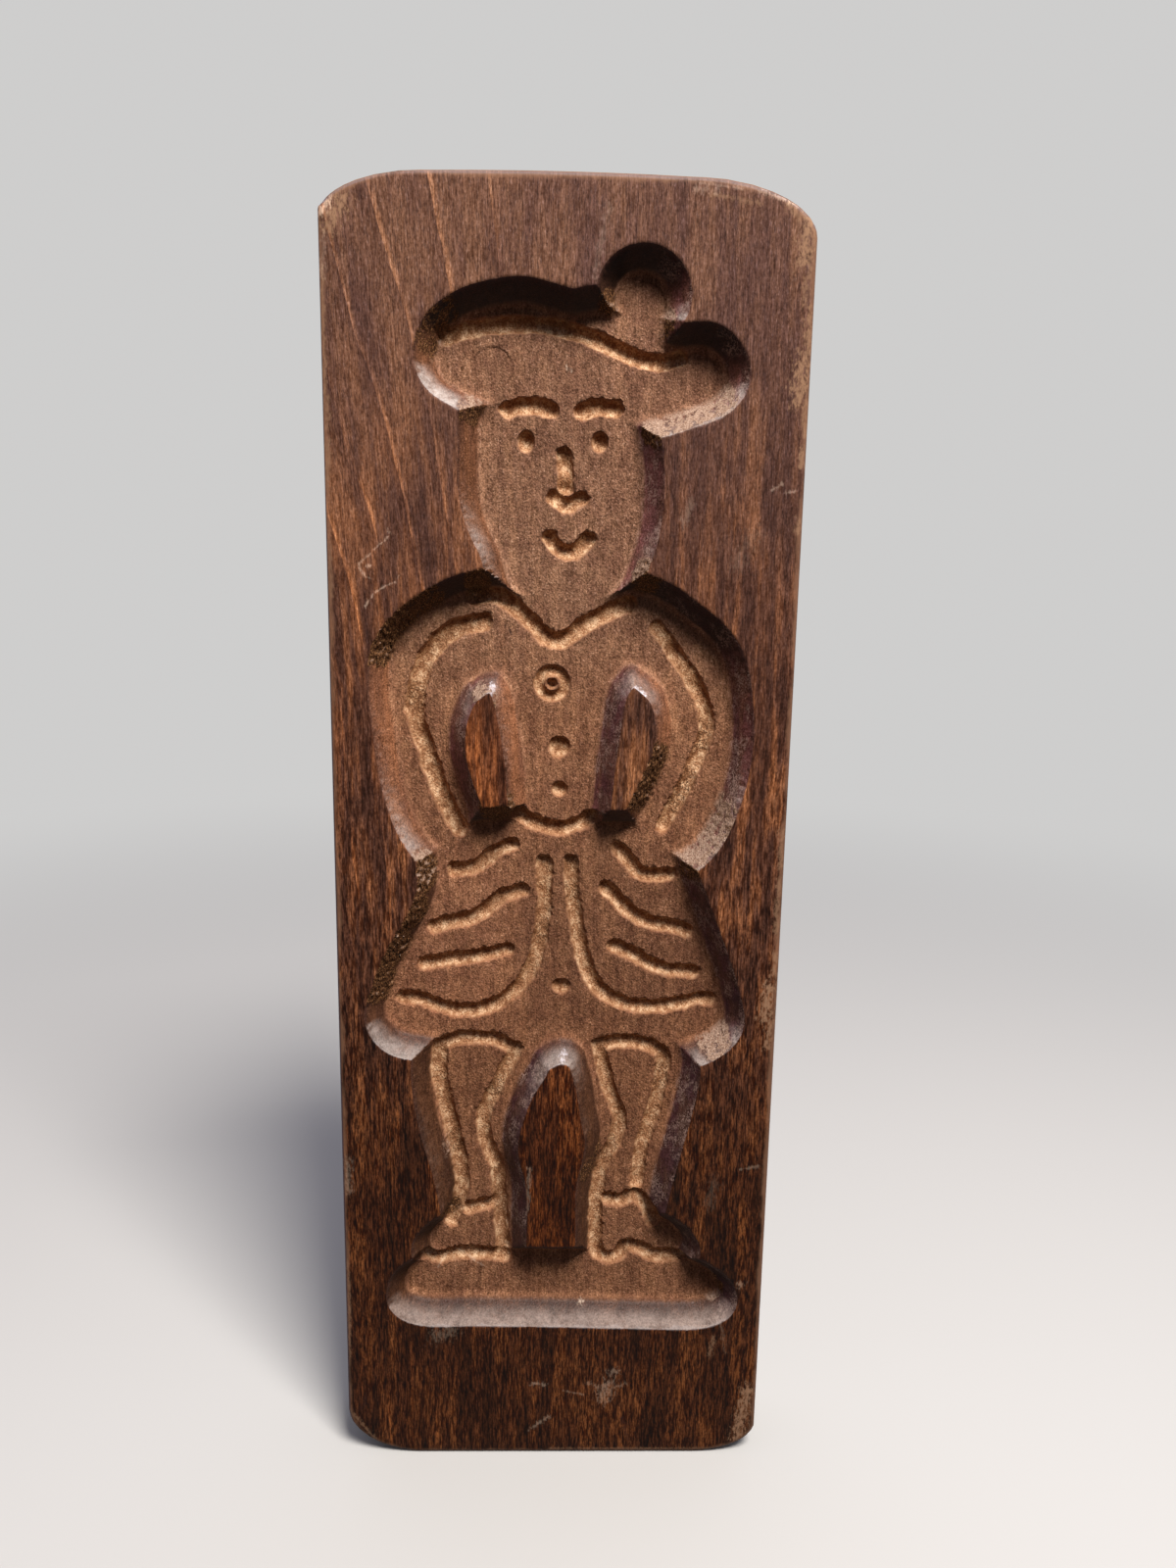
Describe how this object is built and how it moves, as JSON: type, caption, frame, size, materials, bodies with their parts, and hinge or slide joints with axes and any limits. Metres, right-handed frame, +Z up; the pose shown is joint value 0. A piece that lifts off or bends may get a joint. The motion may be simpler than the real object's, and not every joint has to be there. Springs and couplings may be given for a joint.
{
  "type": "cookie mould",
  "caption": "Carved wooden cookie mould: an upright rectangular board with a recess in the shape of a walking figure in a plumed hat.",
  "frame": {"origin": "on the ground under the middle of the bottom end, halfway through the board's thickness", "axes": "+Z up along the board from the figure's feet to its hat, +Y from the carved face through to the back, +X to the right as the carved face is looked at"},
  "size_m": [0.1, 0.02, 0.293],
  "materials": {
    "stained_wood": "dark red-brown stain with a worn satin polish on the face and a dry, lighter surface in the pocket"
  },
  "bodies": {
    "root": {"mould_board": "stained_wood"}
  },
  "joints": []
}
